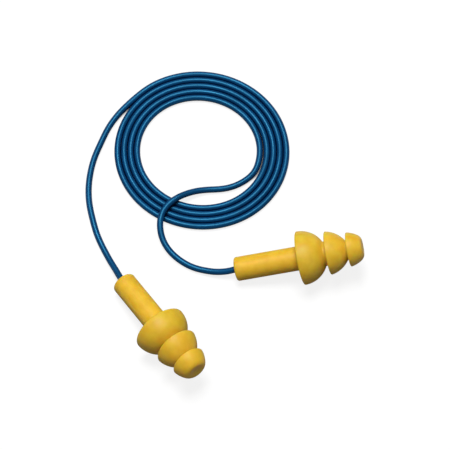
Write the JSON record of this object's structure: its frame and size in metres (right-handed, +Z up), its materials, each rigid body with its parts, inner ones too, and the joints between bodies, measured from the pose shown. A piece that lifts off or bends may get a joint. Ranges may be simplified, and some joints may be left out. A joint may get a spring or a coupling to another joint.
{
  "type": "corded ear plugs",
  "caption": "Reusable corded ear plugs: soft moulded plugs with hollow dome flanges on round stems, joined by a vinyl cord wound in a flat coil.",
  "frame": {"origin": "on the surface that the plugs lie on, below the middle of the box round both plugs", "axes": "+X to the right, along the right plug; +Y away from the viewer, towards the coil; +Z up"},
  "size_m": [0.0674, 0.0836, 0.0129],
  "materials": {
    "plug_elastomer": "matte moulded yellow elastomer",
    "cord_vinyl": "satin blue vinyl"
  },
  "bodies": {
    "root": {"left_plug": "plug_elastomer", "right_plug": "plug_elastomer", "cord_left_lead": "cord_vinyl", "cord_coil": "cord_vinyl", "cord_right_lead": "cord_vinyl"}
  },
  "joints": []
}
